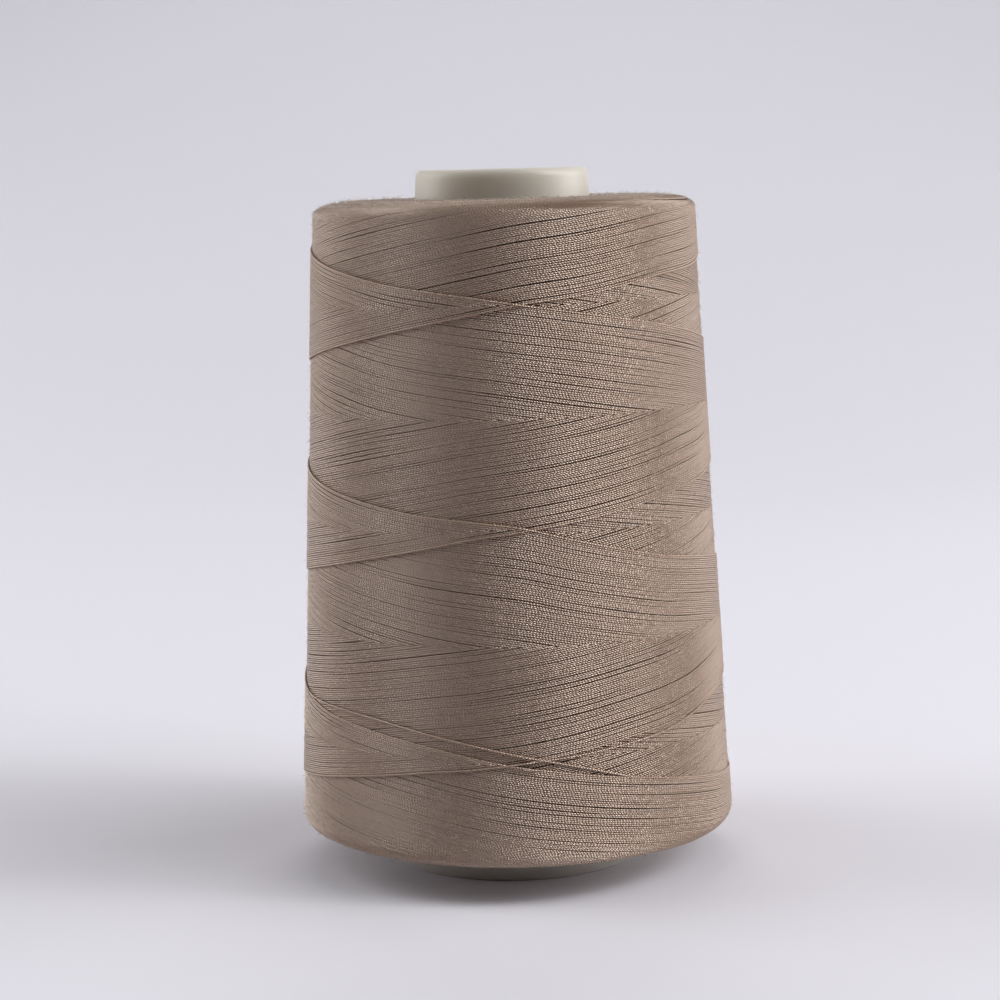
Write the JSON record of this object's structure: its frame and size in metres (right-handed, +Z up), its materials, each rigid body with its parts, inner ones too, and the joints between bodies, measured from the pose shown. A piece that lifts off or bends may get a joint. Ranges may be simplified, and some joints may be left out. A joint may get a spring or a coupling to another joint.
{
  "type": "cone of thread",
  "caption": "Cone of taupe sewing thread: spun thread cross-wound in a tapered package on a hollow white plastic cone, which it stands on.",
  "frame": {"origin": "centre of the cone's foot ring, on the surface that it stands on", "axes": "+Z up along the cone's axis, from the wide foot to the narrow nose; -Y is the side that the picture shows"},
  "size_m": [0.0791, 0.0788, 0.125],
  "materials": {
    "thread": "spun polyester sewing thread, matt with a fibrous sheen",
    "cone": "moulded natural white polypropylene, satin"
  },
  "bodies": {
    "root": {"wound_thread": "thread", "plastic_cone": "cone"}
  },
  "joints": []
}
